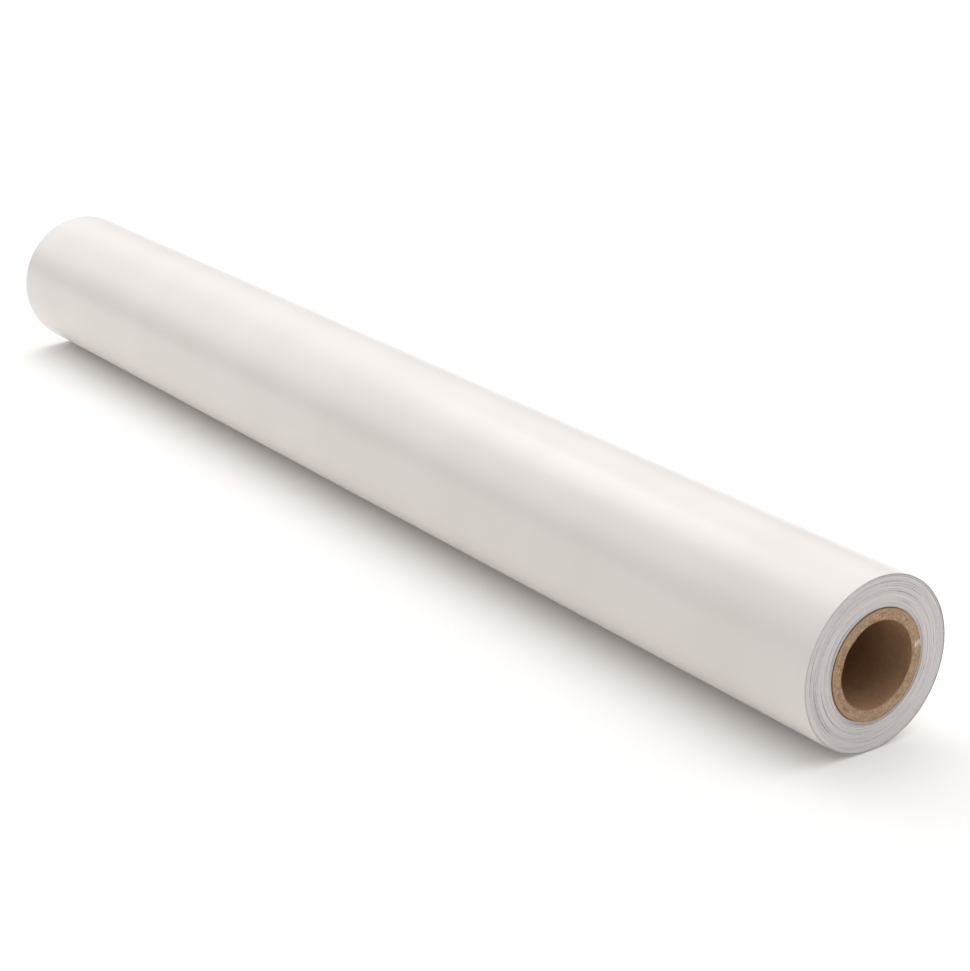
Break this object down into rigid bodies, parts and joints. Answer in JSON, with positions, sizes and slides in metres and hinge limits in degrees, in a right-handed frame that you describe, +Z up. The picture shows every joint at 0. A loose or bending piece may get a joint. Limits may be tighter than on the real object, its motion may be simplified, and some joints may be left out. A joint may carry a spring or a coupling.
{
  "type": "roll of sign vinyl",
  "caption": "Wide printable vinyl film on a release liner, wound face out on a board core, with a loose end that uncurls and peels.",
  "frame": {"origin": "on the core's axis at mid-length", "axes": "+X along the roll, +Y to the back where the loose end is, +Z up"},
  "size_m": [1.3726, 0.1524, 0.1522],
  "materials": {
    "core_lining": "smooth kraft ply, matte",
    "core_board": "grey-brown chipboard plies, matte",
    "core_face_ply": "kraft ply, matte",
    "starter_tape": "double-sided tape",
    "wound_web": "slit edges of film and liner, satin",
    "release_liner": "siliconed paper, satin",
    "vinyl_film": "calendered PVC, gloss white",
    "closing_tape": "clear adhesive tape"
  },
  "bodies": {
    "roll": {"core_bore_ply": "core_lining", "core_ply_1": "core_board", "core_ply_2": "core_board", "core_ply_3": "core_board", "core_ply_4": "core_board", "core_ply_5": "core_board", "core_ply_6": "core_board", "core_ply_7": "core_board", "core_ply_8": "core_board", "core_ply_9": "core_board", "core_outer_ply": "core_face_ply", "starter_tape": "starter_tape", "wound_turns_1": "wound_web", "wound_turns_2": "wound_web", "wound_turns_3": "wound_web", "wound_turns_4": "wound_web", "wound_turns_5": "wound_web", "wound_turns_6": "wound_web", "wound_turns_7": "wound_web", "wound_turns_8": "wound_web", "wound_turns_9": "wound_web", "outer_turn_liner": "release_liner", "outer_turn_film": "vinyl_film"},
    "tail_1": {"tail_liner_1": "release_liner", "tail_film_1": "vinyl_film"},
    "tail_2": {"tail_liner_2": "release_liner", "tail_film_2": "vinyl_film"},
    "tail_3": {"tail_liner_3": "release_liner", "tail_film_3": "vinyl_film"},
    "tail_4": {"tail_liner_4": "release_liner", "tail_film_4": "vinyl_film"},
    "tail_5": {"tail_liner_5": "release_liner", "tail_film_5": "vinyl_film"},
    "tail_6": {"tail_liner_6": "release_liner", "tail_film_6": "vinyl_film"},
    "tail_7": {"tail_liner_7": "release_liner", "tail_film_7": "vinyl_film"},
    "tail_8": {"tail_liner_8": "release_liner", "tail_film_8": "vinyl_film", "tail_end_liner": "release_liner"},
    "film_end": {"tail_end_film": "vinyl_film", "tape_stuck_1": "closing_tape", "tape_stuck_2": "closing_tape", "tape_stuck_3": "closing_tape"},
    "tape_1": {"tape_tab_1": "closing_tape"},
    "tape_2": {"tape_tab_2": "closing_tape"},
    "tape_3": {"tape_tab_3": "closing_tape"}
  },
  "joints": [
    {"name": "tail_bend_1", "type": "hinge", "parent": "roll", "child": "tail_1", "pos_m": [0, 0.04487, 0.06176], "axis": [1, 0, 0], "range_deg": [0, 12]},
    {"name": "tail_bend_2", "type": "hinge", "parent": "tail_1", "child": "tail_2", "pos_m": [0, 0.05673, 0.05108], "axis": [1, 0, 0], "range_deg": [0, 12]},
    {"name": "tail_bend_3", "type": "hinge", "parent": "tail_2", "child": "tail_3", "pos_m": [0, 0.06611, 0.03817], "axis": [1, 0, 0], "range_deg": [0, 12]},
    {"name": "tail_bend_4", "type": "hinge", "parent": "tail_3", "child": "tail_4", "pos_m": [0, 0.0726, 0.02359], "axis": [1, 0, 0], "range_deg": [0, 12]},
    {"name": "tail_bend_5", "type": "hinge", "parent": "tail_4", "child": "tail_5", "pos_m": [0, 0.07592, 0.00798], "axis": [1, 0, 0], "range_deg": [0, 12]},
    {"name": "tail_bend_6", "type": "hinge", "parent": "tail_5", "child": "tail_6", "pos_m": [0, 0.07592, -0.00798], "axis": [1, 0, 0], "range_deg": [0, 12]},
    {"name": "tail_bend_7", "type": "hinge", "parent": "tail_6", "child": "tail_7", "pos_m": [0, 0.0726, -0.02359], "axis": [1, 0, 0], "range_deg": [0, 12]},
    {"name": "tail_bend_8", "type": "hinge", "parent": "tail_7", "child": "tail_8", "pos_m": [0, 0.06611, -0.03817], "axis": [1, 0, 0], "range_deg": [0, 12]},
    {"name": "film_peel", "type": "hinge", "parent": "tail_8", "child": "film_end", "pos_m": [0, 0.05673, -0.05108], "axis": [1, 0, 0], "range_deg": [0, 120]},
    {"name": "tape_peel_1", "type": "hinge", "parent": "film_end", "child": "tape_1", "pos_m": [-0.565, 0.03819, -0.06617], "axis": [1, 0, 0], "range_deg": [0, 110]},
    {"name": "tape_peel_2", "type": "hinge", "parent": "film_end", "child": "tape_2", "pos_m": [0, 0.03819, -0.06617], "axis": [1, 0, 0], "range_deg": [0, 110]},
    {"name": "tape_peel_3", "type": "hinge", "parent": "film_end", "child": "tape_3", "pos_m": [0.565, 0.03819, -0.06617], "axis": [1, 0, 0], "range_deg": [0, 110]}
  ],
  "couplings": [
    {"joint": "tail_bend_2", "follows": "tail_bend_1", "ratio": 1},
    {"joint": "tail_bend_3", "follows": "tail_bend_1", "ratio": 1},
    {"joint": "tail_bend_4", "follows": "tail_bend_1", "ratio": 1},
    {"joint": "tail_bend_5", "follows": "tail_bend_1", "ratio": 1},
    {"joint": "tail_bend_6", "follows": "tail_bend_1", "ratio": 1},
    {"joint": "tail_bend_7", "follows": "tail_bend_1", "ratio": 1},
    {"joint": "tail_bend_8", "follows": "tail_bend_1", "ratio": 1}
  ]
}
